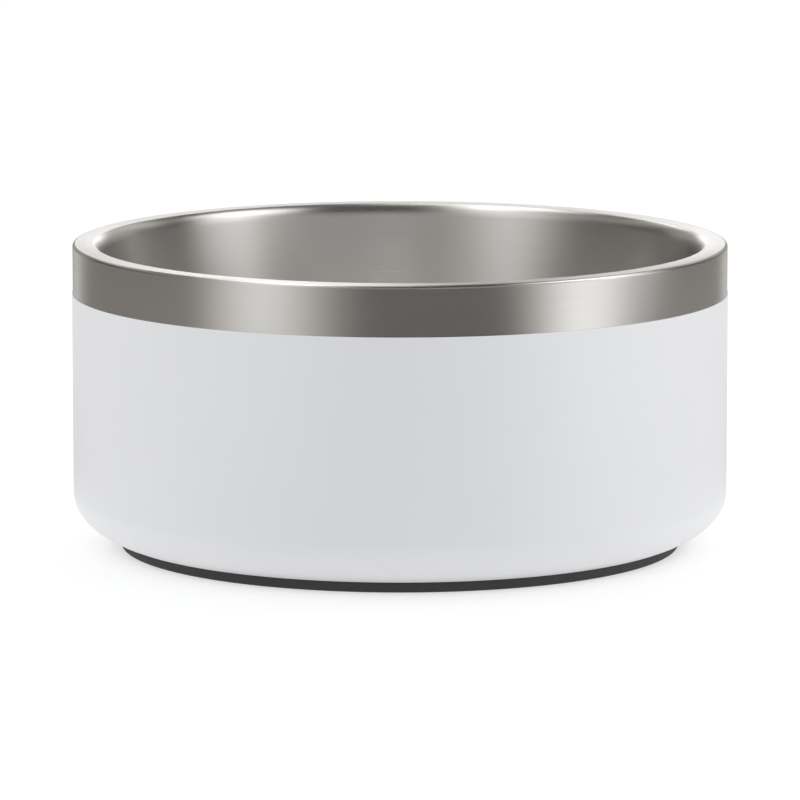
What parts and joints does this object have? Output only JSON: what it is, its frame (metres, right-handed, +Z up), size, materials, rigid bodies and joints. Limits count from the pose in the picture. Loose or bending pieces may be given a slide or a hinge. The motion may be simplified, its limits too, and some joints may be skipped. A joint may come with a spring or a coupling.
{
  "type": "dog bowl",
  "caption": "Straight-sided double-wall steel pet bowl with a flat rim, bare steel band, white powder-coated wall, rounded foot corner and rubber non-slip ring.",
  "frame": {"origin": "on the bowl's axis, in the plane of the ring's sole, which is the surface the bowl stands on", "axes": "+Z up along the bowl's axis; X and Y are any two level directions, as the bowl is round"},
  "size_m": [0.1652, 0.1652, 0.077],
  "materials": {
    "satin_steel": "fine circular satin brush, uncoated stainless steel",
    "white_powder_coat": "semi-matte baked powder coat with a faint orange peel",
    "black_rubber": "matte moulded rubber"
  },
  "bodies": {
    "root": {"inner_bowl": "satin_steel", "outer_shell": "satin_steel", "base_plate": "satin_steel", "powder_coat": "white_powder_coat", "non_slip_ring": "black_rubber"}
  },
  "joints": []
}
